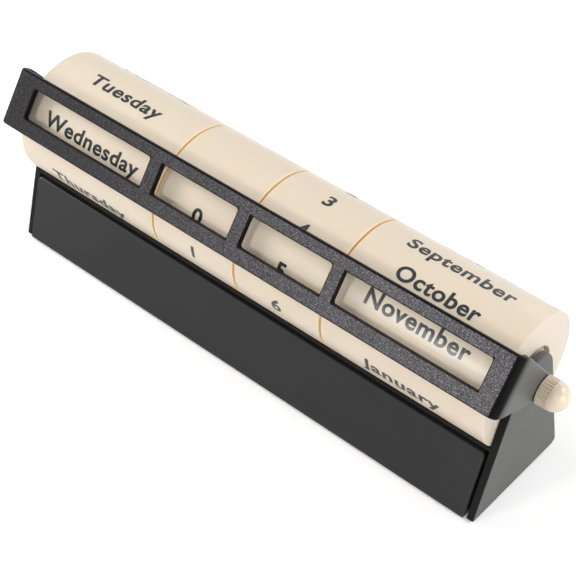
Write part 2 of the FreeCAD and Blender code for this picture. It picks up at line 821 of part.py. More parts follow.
def make_drums():
    start = -drum_row / 2
    row = (
        ("weekday_drum", weekday_pitch),
        ("tens_drum", size.number_pitch),
        ("units_drum", size.number_pitch),
        ("month_drum", size.month_pitch),
    )
    for label, pitch in row:
        make_drum(label, start, pitch)
        make_drum_cap(f"{label}_cap", start)
        start = start + pitch


def sub_parts():
    """The objects that stand for pieces: every body, and the plain solids that nothing else uses."""
    kinds = ("PartDesign::Body", "Part::Box", "Part::Cylinder", "Part::Compound")
    return [item for item in doc.Objects if item.TypeId in kinds and not item.InList]


def check_document():
    for item in doc.Objects:
        if "Invalid" in item.State or "Error" in item.State:
            raise RuntimeError(f"{item.Name} failed: {item.State}")
    for item in sub_parts():
        if item.Shape.isNull() or not item.Shape.isValid():
            raise RuntimeError(f"{item.Label} has no valid shape")


def main():
    make_end_plate("left_end_plate", -size.end_plate_span / 2)
    make_end_plate("right_end_plate", end_plate_inner)
    make_base_shell()
    make_base_pad()
    make_runner("left_runner", -1)
    make_runner("right_runner", 1)
    make_drawer_front()
    make_drawer_tray()
    make_axle_rod()
    make_knob_washers()
    make_knob("left_knob", -1)
    make_knob("right_knob", 1)
    make_drums()
    make_window_frame()
    doc.recompute()
    check_document()
    os.makedirs("parts", exist_ok=True)
    for item in sub_parts():
        item.Shape.exportStep(f"parts/{item.Label}.step")
        print(f"{item.Label}: {len(item.Shape.Solids)} solid(s), {item.Shape.Volume:.1f} mm3")


main()
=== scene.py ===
"""Perpetual desk calendar with a drawer: finishes, printed marks, stage, lamps and camera.

Metres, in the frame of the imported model: X along the axle towards the month drum, -Y the front, +Z up.
"""

import logging
import math
from dataclasses import dataclass
from enum import Enum

import bmesh
import bpy
from mathutils import Matrix, Vector


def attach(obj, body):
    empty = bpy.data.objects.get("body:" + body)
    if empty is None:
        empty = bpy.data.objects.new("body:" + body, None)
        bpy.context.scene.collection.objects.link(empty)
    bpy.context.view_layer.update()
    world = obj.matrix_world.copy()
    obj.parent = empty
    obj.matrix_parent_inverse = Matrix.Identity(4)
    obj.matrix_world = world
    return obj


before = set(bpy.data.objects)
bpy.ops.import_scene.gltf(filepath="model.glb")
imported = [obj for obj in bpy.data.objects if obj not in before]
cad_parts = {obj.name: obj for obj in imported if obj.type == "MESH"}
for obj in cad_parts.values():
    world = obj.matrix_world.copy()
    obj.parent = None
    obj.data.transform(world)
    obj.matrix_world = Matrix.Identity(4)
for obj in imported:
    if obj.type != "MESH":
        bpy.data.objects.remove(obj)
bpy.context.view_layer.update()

LOG = logging.getLogger("desk_calendar")

# Lengths on the object are in millimetres and multiplied by MM; the stage, lamps and camera are in metres.
MM = 0.001
AXLE = Vector((0.0, -4.5, 43.45)) * MM
FRAME_TILT = math.radians(30.0)
DRUM_SEAMS = (-32.0, 0.8, 33.6)
RIGHTWARDS = Vector((1.0, 0.0, 0.0))
FORWARDS = Vector((0.0, -1.0, 0.0))
ORIGIN = Vector((0.0, 0.0, 0.0))
MIDDLE_TONE = 0.5
WHITE = (1.0, 1.0, 1.0)

Colour = tuple[float, float, float]
Nodes = bpy.types.NodeTree


# ---- node tools -------------------------------------------------------------------------------------

def add_node(tree: Nodes, kind: str, **settings: object) -> bpy.types.Node:
    """Adds a shader node.

    Args:
        tree: node tree that gets the node.
        kind: node type, without the ShaderNode prefix.
        settings: properties of the node, by name.

    Returns:
        The new node.
    """
    node = tree.nodes.new("ShaderNode" + kind)
    for name, value in settings.items():
        setattr(node, name, value)
    return node


def join(tree: Nodes, source: object, target: bpy.types.NodeSocket) -> None:
    """Feeds an input socket.

    Args:
        tree: node tree of the socket.
        source: socket to link, or a plain value to set.
        target: the input socket.
    """
    if isinstance(source, bpy.types.NodeSocket):
        tree.links.new(source, target)
    else:
        target.default_value = source


def new_group(name: str, inputs: dict[str, float],
              outputs: dict[str, str]) -> tuple[Nodes, bpy.types.Node, bpy.types.Node]:
    """Starts a shader node group.

    Args:
        name: name of the group.
        inputs: default of each number input, by name.
        outputs: socket type of each output, by name.

    Returns:
        The group's tree, its input node and its output node.
    """
    tree = bpy.data.node_groups.new(name, "ShaderNodeTree")
    for label, value in inputs.items():
        socket = tree.interface.new_socket(label, in_out="INPUT", socket_type="NodeSocketFloat")
        socket.default_value = value
    for label, kind in outputs.items():
        tree.interface.new_socket(label, in_out="OUTPUT", socket_type=kind)
    return tree, tree.nodes.new("NodeGroupInput"), tree.nodes.new("NodeGroupOutput")


def place_group(tree: Nodes, group: Nodes, **values: float) -> bpy.types.Node:
    """Places a node group in a material.

    Args:
        tree: the material's tree.
        group: the group to place.
        values: number inputs, by name.

    Returns:
        The group node.
    """
    node = tree.nodes.new("ShaderNodeGroup")
    node.node_tree = group
    for name, value in values.items():
        node.inputs[name].default_value = value
    return node


def arithmetic(tree: Nodes, operation: str, first: object, second: object) -> bpy.types.NodeSocket:
    """Adds a Math node.

    Args:
        tree: node tree that gets the node.
        operation: what the node works out.
        first: socket or number for its first input.
        second: socket or number for its second input.

    Returns:
        The node's result.
    """
    node = add_node(tree, "Math", operation=operation)
    for socket, value in zip(node.inputs, (first, second)):
        join(tree, value, socket)
    return node.outputs[0]


def magnitude(tree: Nodes, value: bpy.types.NodeSocket) -> bpy.types.NodeSocket:
    """Drops a value's sign."""
    return arithmetic(tree, "ABSOLUTE", value, 0.0)


def linear(tree: Nodes, value: bpy.types.NodeSocket, gain: float, offset: float) -> bpy.types.NodeSocket:
    """Multiplies a value by a gain and adds an offset."""
    return arithmetic(tree, "ADD", arithmetic(tree, "MULTIPLY", value, gain), offset)


def object_noise(tree: Nodes, scale: object, detail: float, roughness: float = 0.5) -> bpy.types.NodeSocket:
    """Adds noise on Object coordinates.

    Args:
        tree: node tree that gets the noise.
        scale: socket or number for its scale.
        detail: octaves of the noise.
        roughness: weight of the finer octaves.

    Returns:
        The noise value, 0 to 1.
    """
    place = add_node(tree, "TexCoord")
    noise = add_node(tree, "TexNoise", noise_dimensions="3D")
    noise.inputs["Detail"].default_value = detail
    noise.inputs["Roughness"].default_value = roughness
    join(tree, place.outputs["Object"], noise.inputs["Vector"])
    join(tree, scale, noise.inputs["Scale"])
    return noise.outputs["Fac"]


def span(tree: Nodes, value: bpy.types.NodeSocket, low: float, high: float) -> bpy.types.NodeSocket:
    """Adds a smooth step.

    Args:
        tree: node tree that gets the step.
        value: what is measured.
        low: value at which the step is 0; it may lie above high.
        high: value at which the step is 1.

    Returns:
        The step, 0 to 1.
    """
    node = add_node(tree, "MapRange", interpolation_type="SMOOTHSTEP")
    join(tree, value, node.inputs["Value"])
    node.inputs["From Min"].default_value = low
    node.inputs["From Max"].default_value = high
    return node.outputs["Result"]


def along_axis(tree: Nodes, source: str, axis: Vector, start: Vector) -> bpy.types.NodeSocket:
    """Measures the object's own coordinate or normal along an axis.

    Args:
        tree: node tree that gets the measure.
        source: Object for the coordinate, Normal for the normal.
        axis: unit vector.
        start: where the coordinate is 0.

    Returns:
        The measure.
    """
    place = add_node(tree, "TexCoord")
    node = add_node(tree, "VectorMath", operation="DOT_PRODUCT")
    join(tree, place.outputs[source], node.inputs[0])
    node.inputs[1].default_value = axis
    return arithmetic(tree, "SUBTRACT", node.outputs["Value"], axis.dot(start))


# ---- effects that several finishes share ----------------------------------------------------------------

PEBBLE_MELT = 0.8
GRIT_FINENESS = 2.7
SPECK_FIELD_SCALE = 0.08
SPECK_FIELD_EDGE = (0.5, 0.7)


def make_pebble() -> Nodes:
    """Powder coat's orange peel: rounded pebbles over fine grit.

    Returns:
        The group, with inputs Scale and Grit and outputs Height and Tone; Tone is a painted glint that
        lightens the pebbles' domes, broken up at random.
    """
    tree, inlet, outlet = new_group("pebble", {"Scale": 1300.0, "Grit": 0.35},
                                    {"Height": "NodeSocketFloat", "Tone": "NodeSocketFloat"})
    place = add_node(tree, "TexCoord")
    cells = add_node(tree, "TexVoronoi", feature="SMOOTH_F1", voronoi_dimensions="3D")
    cells.inputs["Smoothness"].default_value = PEBBLE_MELT
    join(tree, place.outputs["Object"], cells.inputs["Vector"])
    join(tree, inlet.outputs["Scale"], cells.inputs["Scale"])
    dome = arithmetic(tree, "SUBTRACT", 1.0, cells.outputs["Distance"])
    fineness = arithmetic(tree, "MULTIPLY", inlet.outputs["Scale"], GRIT_FINENESS)
    grit = object_noise(tree, fineness, detail=3.0, roughness=0.6)
    height = arithmetic(tree, "ADD", dome, arithmetic(tree, "MULTIPLY", grit, inlet.outputs["Grit"]))
    join(tree, height, outlet.inputs["Height"])
    # Painted glint: the pebbles' domes are made lighter, broken up by random noise.
    tone = arithmetic(tree, "MULTIPLY", dome, object_noise(tree, inlet.outputs["Scale"], detail=2.0))
    join(tree, tone, outlet.inputs["Tone"])
    return tree


def make_mottle() -> Nodes:
    """Cloudy unevenness of a surface, centred on 0.

    Returns:
        The group, with inputs Scale and Amount and output Shift.
    """
    tree, inlet, outlet = new_group("mottle", {"Scale": 60.0, "Amount": 0.1}, {"Shift": "NodeSocketFloat"})
    cloud = object_noise(tree, inlet.outputs["Scale"], detail=4.0, roughness=0.55)
    centred = arithmetic(tree, "SUBTRACT", cloud, 0.5)
    join(tree, arithmetic(tree, "MULTIPLY", centred, inlet.outputs["Amount"]), outlet.inputs["Shift"])
    return tree


def make_specks() -> Nodes:
    """Sparse specks of dust, in loose fields.

    Returns:
        The group, with inputs Scale and Share and output Mask.
    """
    tree, inlet, outlet = new_group("specks", {"Scale": 900.0, "Share": 0.1}, {"Mask": "NodeSocketFloat"})
    place = add_node(tree, "TexCoord")
    cells = add_node(tree, "TexVoronoi", feature="F1", voronoi_dimensions="3D")
    join(tree, place.outputs["Object"], cells.inputs["Vector"])
    join(tree, inlet.outputs["Scale"], cells.inputs["Scale"])
    spot = add_node(tree, "MapRange", interpolation_type="SMOOTHSTEP")
    join(tree, cells.outputs["Distance"], spot.inputs["Value"])
    join(tree, inlet.outputs["Share"], spot.inputs["From Max"])
    spot.inputs["To Min"].default_value = 1.0
    spot.inputs["To Max"].default_value = 0.0
    field_scale = arithmetic(tree, "MULTIPLY", inlet.outputs["Scale"], SPECK_FIELD_SCALE)
    field = span(tree, object_noise(tree, field_scale, detail=2.0), *SPECK_FIELD_EDGE)
    join(tree, arithmetic(tree, "MULTIPLY", spot.outputs["Result"], field), outlet.inputs["Mask"])
    return tree


@dataclass(frozen=True)
class Effects:
    """The node groups that the finishes share."""

    pebble: Nodes
    mottle: Nodes
    specks: Nodes

    @classmethod
    def make(cls) -> "Effects":
        """Builds every group once."""
        return cls(make_pebble(), make_mottle(), make_specks())


# ---- finishes -------------------------------------------------------------------------------------------

def start_material(name: str) -> tuple[bpy.types.Material, Nodes, bpy.types.Node]:
    """Starts a material.

    Args:
        name: name of the material.

    Returns:
        The material, its tree and its Principled BSDF.
    """
    material = bpy.data.materials.new(name)
    material.use_nodes = True
    tree = material.node_tree
    return material, tree, tree.nodes["Principled BSDF"]


def tint(tree: Nodes, low: object, high: object, mask: bpy.types.NodeSocket) -> bpy.types.NodeSocket:
    """Mixes two colours by a mask.

    Args:
        tree: the material's tree.
        low: colour, or a socket with one, where the mask is 0.
        high: colour, or a socket with one, where the mask is 1.
        mask: the mask.

    Returns:
        The mixed colour.
    """
    mix = add_node(tree, "MixRGB")
    for name, colour in (("Color1", low), ("Color2", high)):
        plain = not isinstance(colour, bpy.types.NodeSocket)
        join(tree, (*colour, 1.0) if plain else colour, mix.inputs[name])
    join(tree, mask, mix.inputs["Fac"])
    return mix.outputs["Color"]


def bump(tree: Nodes, shader: bpy.types.Node, height: bpy.types.NodeSocket, depth: float) -> None:
    """Raises a shader's surface by a height.

    Args:
        tree: the material's tree.
        shader: the Principled BSDF.
        height: the height, about 0 to 1.
        depth: what a height of 1 stands for, in metres.
    """
    node = add_node(tree, "Bump")
    node.inputs["Strength"].default_value = 1.0
    node.inputs["Distance"].default_value = depth
    join(tree, height, node.inputs["Height"])
    join(tree, node.outputs["Normal"], shader.inputs["Normal"])


@dataclass(frozen=True)
class PowderCoat:
    """Textured dark powder coat on sheet metal, with black painted shade where it faces the front and
    painted glint on its pebbles.
    """

    name: str
    dark: Colour
    light: Colour
    # Black painted shade for the faces turned to the front.
    edge: Colour
    roughness: float
    pebble_scale: float
    pebble_depth: float
    grit: float = 0.35
    cloud_scale: float = 45.0
    cloud_amount: float = 0.18
    front_shade_turn: tuple[float, float] = (0.15, 0.45)
    specular: float = 0.5
    edge_specular: float = 0.1

    def build(self, effects: Effects) -> bpy.types.Material:
        """Builds the material.

        Args:
            effects: the shared node groups.

        Returns:
            The material.
        """
        material, tree, shader = start_material(self.name)
        pebble = place_group(tree, effects.pebble, Scale=self.pebble_scale, Grit=self.grit)
        cloud = place_group(tree, effects.mottle, Scale=self.cloud_scale, Amount=self.cloud_amount)
        # The pebbles' painted glint and the random cloud set the coat's colour.
        tone = arithmetic(tree, "ADD", pebble.outputs["Tone"], cloud.outputs["Shift"])
        coat = tint(tree, self.dark, self.light, tone)
        # Painted shade: faces turned to the front take the black colour and a lower specular.
        front = span(tree, along_axis(tree, "Normal", FORWARDS, ORIGIN), *self.front_shade_turn)
        join(tree, tint(tree, coat, self.edge, front), shader.inputs["Base Color"])
        specular = linear(tree, front, self.edge_specular - self.specular, self.specular)
        join(tree, specular, shader.inputs["Specular IOR Level"])
        rough = arithmetic(tree, "ADD", cloud.outputs["Shift"], self.roughness)
        join(tree, rough, shader.inputs["Roughness"])
        bump(tree, shader, pebble.outputs["Height"], self.pebble_depth)
        return material


@dataclass(frozen=True)
class FrameCoat:
    """Window frame: pebbled face with painted glint on its pebbles and painted shade that darkens it towards
    the left, black painted shade on bends, reveals and a rim round each window, plain arms that fade in from
    that shade past the bends.
    """

    name: str
    dark: Colour
    # Painted glint on the pebbles' domes.
    light: Colour
    # Black painted shade on bends, chamfers, reveals and window rims.
    edge: Colour
    arm_dark: Colour
    arm_light: Colour
    pebble_scale: float
    pebble_depth: float
    roughness: float = 0.42
    grit: float = 0.5
    glint_span: tuple[float, float] = (0.18, 0.62)
    cloud_scale: float = 60.0
    cloud_amount: float = 0.25
    face_turn: tuple[float, float] = (0.965, 0.992)
    # Distances from the axle over which the arm's colour fades in from the bend's black painted shade.
    arm_reach: tuple[float, float] = (24.3, 18.5)
    # The next two fields set the painted shade that darkens the face towards the left.
    half_length: float = 96.0
    left_shade_tone: float = 0.18
    edge_relief: float = 0.12
    edge_specular: float = 0.05
    arm_specular: float = 0.33
    face_specular: float = 1.7
    panes: tuple[tuple[float, float], ...] = ((-85.9, -35.6), (-31.0, -0.8), (3.65, 33.95), (38.1, 87.5))
    pane_middle: float = 2.1
    pane_half_height: float = 5.0
    pane_shade_rim: tuple[float, float] = (0.36, 0.15)

    def rim(self, tree: Nodes, along: bpy.types.NodeSocket) -> bpy.types.NodeSocket:
        """Masks a narrow rim round each window, which takes black painted shade.

        Args:
            tree: the material's tree.
            along: place along the frame, from its middle.

        Returns:
            The mask, 1 next to a window.
        """
        upwards = Vector((0.0, math.sin(FRAME_TILT), math.cos(FRAME_TILT)))
        height = along_axis(tree, "Object", upwards, AXLE + upwards * self.pane_middle * MM)
        above = arithmetic(tree, "SUBTRACT", magnitude(tree, height), self.pane_half_height * MM)
        nearest = None
        for left, right in self.panes:
            offset = arithmetic(tree, "SUBTRACT", along, (left + right) / 2 * MM)
            beside = arithmetic(tree, "SUBTRACT", magnitude(tree, offset), (right - left) / 2 * MM)
            reach = arithmetic(tree, "MAXIMUM", above, beside)
            nearest = reach if nearest is None else arithmetic(tree, "MINIMUM", nearest, reach)
        return span(tree, nearest, *(edge * MM for edge in self.pane_shade_rim))

    def build(self, effects: Effects) -> bpy.types.Material:
        """Builds the material.

        Args:
            effects: the shared node groups.

        Returns:
            The material.
        """
        material, tree, shader = start_material(self.name)
        outwards = Vector((0.0, -math.cos(FRAME_TILT), math.sin(FRAME_TILT)))
        along = along_axis(tree, "Object", RIGHTWARDS, AXLE)
        # Painted shade: the pebbled face and its specular darken towards the left.
        rightwards = span(tree, along, -self.half_length * MM, self.half_length * MM)
        left_shade = linear(tree, rightwards, 1.0 - self.left_shade_tone, self.left_shade_tone)
        # Painted shade: faces not turned outwards (bends, chamfers, reveals) keep the black colour with
        # little specular.
        flat = span(tree, along_axis(tree, "Normal", outwards, ORIGIN), *self.face_turn)
        # Painted shade: the rim round each window is taken out of the face and turns black.
        face = arithmetic(tree, "SUBTRACT", flat, arithmetic(tree, "MULTIPLY", self.rim(tree, along), flat))
        # The arms fade in from that black painted shade past the bends.
        arm = span(tree, along_axis(tree, "Object", outwards, AXLE), *(edge * MM for edge in self.arm_reach))
        pebble = place_group(tree, effects.pebble, Scale=self.pebble_scale, Grit=self.grit)
        cloud = place_group(tree, effects.mottle, Scale=self.cloud_scale, Amount=self.cloud_amount)
        # Painted glint: the pebbles' domes are lit up towards the light colour.
        pebble_glint = span(tree, pebble.outputs["Tone"], *self.glint_span)
        mottled = arithmetic(tree, "ADD", pebble_glint, cloud.outputs["Shift"])
        pebbled = tint(tree, self.dark, self.light, arithmetic(tree, "MULTIPLY", mottled, left_shade))
        arm_tone = arithmetic(tree, "ADD", cloud.outputs["Shift"], MIDDLE_TONE)
        plain = tint(tree, self.arm_dark, self.arm_light, arm_tone)
        join(tree, tint(tree, tint(tree, self.edge, pebbled, face), plain, arm), shader.inputs["Base Color"])
        lit = arithmetic(tree, "MULTIPLY", arithmetic(tree, "MULTIPLY", face, left_shade), self.face_specular)
        specular = linear(tree, arithmetic(tree, "MAXIMUM", lit, arm), self.arm_specular, self.edge_specular)
        join(tree, specular, shader.inputs["Specular IOR Level"])
        shader.inputs["Roughness"].default_value = self.roughness
        relief = linear(tree, face, 1.0 - self.edge_relief, self.edge_relief)
        bump(tree, shader, arithmetic(tree, "MULTIPLY", pebble.outputs["Height"], relief), self.pebble_depth)
        return material


@dataclass(frozen=True)
class SatinPaint:
    """Smooth satin paint with a faint cloud of handling marks."""

    name: str
    dark: Colour
    light: Colour
    roughness: float
    cloud_scale: float = 28.0
    cloud_amount: float = 0.5
    cloud_roughness: float = 0.3
    dust_scale: float = 700.0
    dust_share: float = 0.09
    specular: float = 0.22
    peel_scale: float = 900.0
    peel_depth: float = 0.012 * MM

    def build(self, effects: Effects) -> bpy.types.Material:
        """Builds the material.

        Args:
            effects: the shared node groups.

        Returns:
            The material.
        """
        material, tree, shader = start_material(self.name)
        cloud = place_group(tree, effects.mottle, Scale=self.cloud_scale, Amount=self.cloud_amount)
        dust = place_group(tree, effects.specks, Scale=self.dust_scale, Share=self.dust_share)
        tone = arithmetic(tree, "ADD", cloud.outputs["Shift"], MIDDLE_TONE)
        spotted = arithmetic(tree, "ADD", tone, dust.outputs["Mask"])
        join(tree, tint(tree, self.dark, self.light, spotted), shader.inputs["Base Color"])
        rough = linear(tree, cloud.outputs["Shift"], self.cloud_roughness, self.roughness)
        join(tree, rough, shader.inputs["Roughness"])
        shader.inputs["Specular IOR Level"].default_value = self.specular
        bump(tree, shader, object_noise(tree, self.peel_scale, detail=2.0), self.peel_depth)
        return material


@dataclass(frozen=True)
class Plastic:
    """Moulded plastic with slight clouding and fine surface grain; on the drums also a painted orange glow
    in the seams and painted shade on faces turned to the right.
    """

    name: str
    shade: Colour
    bright: Colour
    roughness: float
    grain_depth: float
    subsurface: float = 0.0
    # Painted glow: an orange colour and glow in the seams between drums, standing in for light bouncing
    # inside them.
    seam_glow: Colour | None = None
    # Painted shade: a darker colour for faces turned to the right.
    end: Colour | None = None
    seam_glow_reach: tuple[float, float] = (1.00, 0.55)
    seam_glow_strength: float = 0.08
    end_turn: tuple[float, float] = (0.5, 0.9)
    cloud_scale: float = 35.0
    cloud_amount: float = 0.7
    cloud_roughness: float = 0.12
    bleed_radius: tuple[float, float, float] = (1.0, 0.50, 0.25)
    bleed_depth: float = 2.0 * MM
    grain_scale: float = 1600.0

    def seam_glow_mask(self, tree: Nodes) -> bpy.types.NodeSocket:
        """Masks the drums' ends that face each other, and their rims, where the painted seam glow goes.

        Args:
            tree: the material's tree.

        Returns:
            The mask, 0 to 1.
        """
        along = along_axis(tree, "Object", RIGHTWARDS, ORIGIN)
        mask = None
        for seam in DRUM_SEAMS:
            away = magnitude(tree, arithmetic(tree, "SUBTRACT", along, seam * MM))
            near = span(tree, away, *(edge * MM for edge in self.seam_glow_reach))
            mask = near if mask is None else arithmetic(tree, "MAXIMUM", mask, near)
        return mask

    def build(self, effects: Effects) -> bpy.types.Material:
        """Builds the material.

        Args:
            effects: the shared node groups.

        Returns:
            The material.
        """
        material, tree, shader = start_material(self.name)
        cloud = place_group(tree, effects.mottle, Scale=self.cloud_scale, Amount=self.cloud_amount)
        tone = arithmetic(tree, "ADD", cloud.outputs["Shift"], MIDDLE_TONE)
        colour = tint(tree, self.shade, self.bright, tone)
        # Painted shade: faces turned to the right take a darker colour.
        if self.end:
            facing = span(tree, along_axis(tree, "Normal", RIGHTWARDS, ORIGIN), *self.end_turn)
            colour = tint(tree, colour, self.end, facing)
        # Painted glow in the seams: orange colour plus emission, standing in for light bouncing inside them.
        if self.seam_glow:
            mask = self.seam_glow_mask(tree)
            colour = tint(tree, colour, self.seam_glow, mask)
            join(tree, colour, shader.inputs["Emission Color"])
            glow = arithmetic(tree, "MULTIPLY", mask, self.seam_glow_strength)
            join(tree, glow, shader.inputs["Emission Strength"])
        join(tree, colour, shader.inputs["Base Color"])
        rough = linear(tree, cloud.outputs["Shift"], self.cloud_roughness, self.roughness)
        join(tree, rough, shader.inputs["Roughness"])
        if self.subsurface:
            shader.inputs["Subsurface Weight"].default_value = self.subsurface
            shader.inputs["Subsurface Radius"].default_value = self.bleed_radius
            shader.inputs["Subsurface Scale"].default_value = self.bleed_depth
        bump(tree, shader, object_noise(tree, self.grain_scale, detail=3.0), self.grain_depth)
        return material


@dataclass(frozen=True)
class TurnedSteel:
    """Drawn steel rod with faint rings."""

    name: str
    shade: Colour
    bright: Colour
    roughness: float
    cloud_scale: float = 120.0
    cloud_amount: float = 0.8
    ring_scale: float = 900.0
    ring_wobble: float = 2.0
    ring_roughness: float = 0.12
    ring_depth: float = 0.004 * MM

    def build(self, effects: Effects) -> bpy.types.Material:
        """Builds the material.

        Args:
            effects: the shared node groups.

        Returns:
            The material.
        """
        material, tree, shader = start_material(self.name)
        shader.inputs["Metallic"].default_value = 1.0
        cloud = place_group(tree, effects.mottle, Scale=self.cloud_scale, Amount=self.cloud_amount)
        tone = arithmetic(tree, "ADD", cloud.outputs["Shift"], MIDDLE_TONE)
        join(tree, tint(tree, self.shade, self.bright, tone), shader.inputs["Base Color"])
        place = add_node(tree, "TexCoord")
        rings = add_node(tree, "TexWave", wave_type="BANDS", bands_direction="X")
        rings.inputs["Scale"].default_value = self.ring_scale
        rings.inputs["Distortion"].default_value = self.ring_wobble
        join(tree, place.outputs["Object"], rings.inputs["Vector"])
        rough = linear(tree, rings.outputs["Fac"], self.ring_roughness, self.roughness)
        join(tree, rough, shader.inputs["Roughness"])
        bump(tree, shader, rings.outputs["Fac"], self.ring_depth)
        return material


class Finish(Enum):
    """Every finish on the object."""

    # Stand coat: its black edge colour is painted shade on faces turned to the front.
    STAND_COAT = PowderCoat(
        "stand_coat", dark=(0.036, 0.037, 0.035), light=(0.104, 0.106, 0.099), edge=(0.008, 0.0075, 0.007),
        roughness=0.46, pebble_scale=1700.0, pebble_depth=0.03 * MM)
    # Frame coat: its light colour is painted glint on the pebbles, its edge colour black painted shade.
    FRAME_COAT = FrameCoat(
        "frame_coat", dark=(0.007, 0.006, 0.007), light=(0.310, 0.285, 0.315), edge=(0.004, 0.004, 0.004),
        arm_dark=(0.060, 0.061, 0.057), arm_light=(0.104, 0.105, 0.097), pebble_scale=2600.0,
        pebble_depth=0.22 * MM)
    DRAWER_PAINT = SatinPaint(
        "drawer_paint", dark=(0.0185, 0.0180, 0.0185), light=(0.0255, 0.0248, 0.0252), roughness=0.36)
    RUNNER_PAINT = SatinPaint(
        "runner_paint", dark=(0.020, 0.020, 0.020), light=(0.035, 0.035, 0.035), roughness=0.42)
    PAD_RUBBER = Plastic(
        "pad_rubber", shade=(0.018, 0.018, 0.018), bright=(0.030, 0.030, 0.030), roughness=0.85,
        grain_depth=0.05 * MM)
    TRAY_PLASTIC = Plastic(
        "tray_plastic", shade=(0.022, 0.022, 0.022), bright=(0.034, 0.034, 0.034), roughness=0.5,
        grain_depth=0.03 * MM)
    ROD_STEEL = TurnedSteel(
        "rod_steel", shade=(0.42, 0.42, 0.42), bright=(0.62, 0.61, 0.60), roughness=0.28)
    WASHER_PLASTIC = Plastic(
        "washer_plastic", shade=(0.012, 0.012, 0.012), bright=(0.022, 0.022, 0.022), roughness=0.6,
        grain_depth=0.01 * MM)
    KNOB_PLASTIC = Plastic(
        "knob_plastic", shade=(0.75, 0.63, 0.48), bright=(0.80, 0.68, 0.53), roughness=0.20,
        grain_depth=0.004 * MM, subsurface=0.1)
    # Drum plastic: the orange seam colour is a painted glow, the darker colour on faces turned to the right
    # painted shade.
    DRUM_PLASTIC = Plastic(
        "drum_plastic", shade=(0.775, 0.660, 0.520), bright=(0.815, 0.700, 0.560), roughness=0.32,
        grain_depth=0.008 * MM, subsurface=0.30, seam_glow=(0.83, 0.65, 0.42), end=(0.66, 0.57, 0.47))
    PRINT_INK = Plastic(
        "print_ink", shade=(0.010, 0.010, 0.011), bright=(0.020, 0.019, 0.020), roughness=0.30,
        grain_depth=0.004 * MM)


@dataclass(frozen=True)
class Finisher:
    """Builds each finish once and gives it out."""

    materials: dict[Finish, bpy.types.Material]

    @classmethod
    def make(cls) -> "Finisher":
        """Builds every finish."""
        effects = Effects.make()
        return cls({finish: finish.value.build(effects) for finish in Finish})

    def dress(self, piece: bpy.types.Object, finish: Finish) -> None:
        """Gives a piece one finish all over.

        Args:
            piece: object to dress.
            finish: its finish.
        """
        slots = piece.data.materials
        if len(slots) == 0:
            slots.append(self.materials[finish])
        for index in range(len(slots)):
            slots[index] = self.materials[finish]


# ---- sub-assemblies -------------------------------------------------------------------------------------

def dress_nodes(finisher: Finisher, finishes: tuple[tuple[str, Finish], ...]) -> None:
    """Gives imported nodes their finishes.

    Args:
        finisher: holds the materials.
        finishes: pairs of node name and finish.
    """
    for name, finish in finishes:
        finisher.dress(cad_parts[name], finish)
        LOG.info("%s: %s", name, finish.value.name)


@dataclass(frozen=True)
class Assembly:
    """A sub-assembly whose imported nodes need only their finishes."""

    finishes: tuple[tuple[str, Finish], ...] = ()

    def build(self, finisher: Finisher) -> None:
        """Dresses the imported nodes."""
        dress_nodes(finisher, self.finishes)


@dataclass(frozen=True)
class Stand(Assembly):
    """Bent shell, end plates, pad, runners, axle rod and washers."""

    finishes: tuple[tuple[str, Finish], ...] = (
        ("base_shell", Finish.STAND_COAT),
        ("left_end_plate", Finish.STAND_COAT),
        ("right_end_plate", Finish.STAND_COAT),
        ("base_pad", Finish.PAD_RUBBER),
        ("left_runner", Finish.RUNNER_PAINT),
        ("right_runner", Finish.RUNNER_PAINT),
        ("axle_rod", Finish.ROD_STEEL),
        ("knob_washers", Finish.WASHER_PLASTIC),
    )


@dataclass(frozen=True)
class Drawer(Assembly):
    """Drawer front and tray."""

    finishes: tuple[tuple[str, Finish], ...] = (
        ("drawer_front", Finish.DRAWER_PAINT),
        ("drawer_tray", Finish.TRAY_PLASTIC),
    )


@dataclass(frozen=True)
class Window(Assembly):
    """Bent window frame and the two knobs that clamp it."""

    finishes: tuple[tuple[str, Finish], ...] = (
        ("window_frame", Finish.FRAME_COAT),
        ("left_knob", Finish.KNOB_PLASTIC),
        ("right_knob", Finish.KNOB_PLASTIC),
    )


# Height of a capital in the built-in letters' own units, which weld is in too.
FONT_CAP_HEIGHT = 0.682
UNIT_THICKNESS = 1.0


@dataclass(frozen=True)
class Mark:
    """One word or digit: its width, 0 for the drum's usual spread, and its degrees off even spacing."""

    text: str
    width: float = 0.0
    lead: float = 0.0


